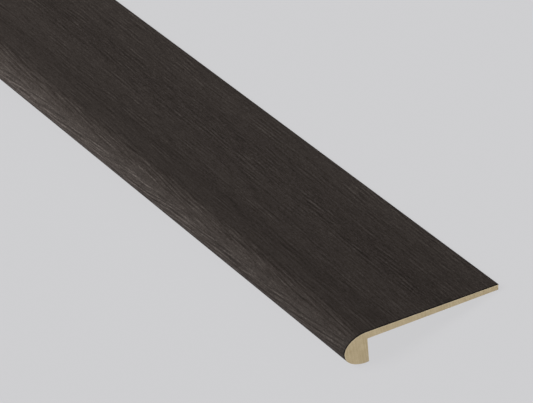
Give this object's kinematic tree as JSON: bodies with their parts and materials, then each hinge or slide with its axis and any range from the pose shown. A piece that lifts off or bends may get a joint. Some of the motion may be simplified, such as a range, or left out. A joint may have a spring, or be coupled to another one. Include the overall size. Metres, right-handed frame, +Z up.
{
  "type": "stair tread",
  "caption": "Renovation stair tread: thin wood-fibre panel with a tall rounded nose and undercut leg, faced with dark oak-grain film",
  "frame": {"origin": "on the floor, under the middle of the tread's bounding box as it rests unheld", "axes": "+X along the tread's length, +Y from the nose towards the riser, +Z up; the fitted tread's level planes are tipped 10.6 degrees back about X"},
  "size_m": [1.3, 0.2906, 0.0563],
  "materials": {
    "fibreboard": "bare milled wood-fibre board",
    "dark_oak_film": "matte printed oak grain, lightly embossed"
  },
  "bodies": {
    "root": {"tread_core": "fibreboard", "decor_film": "dark_oak_film"}
  },
  "joints": []
}
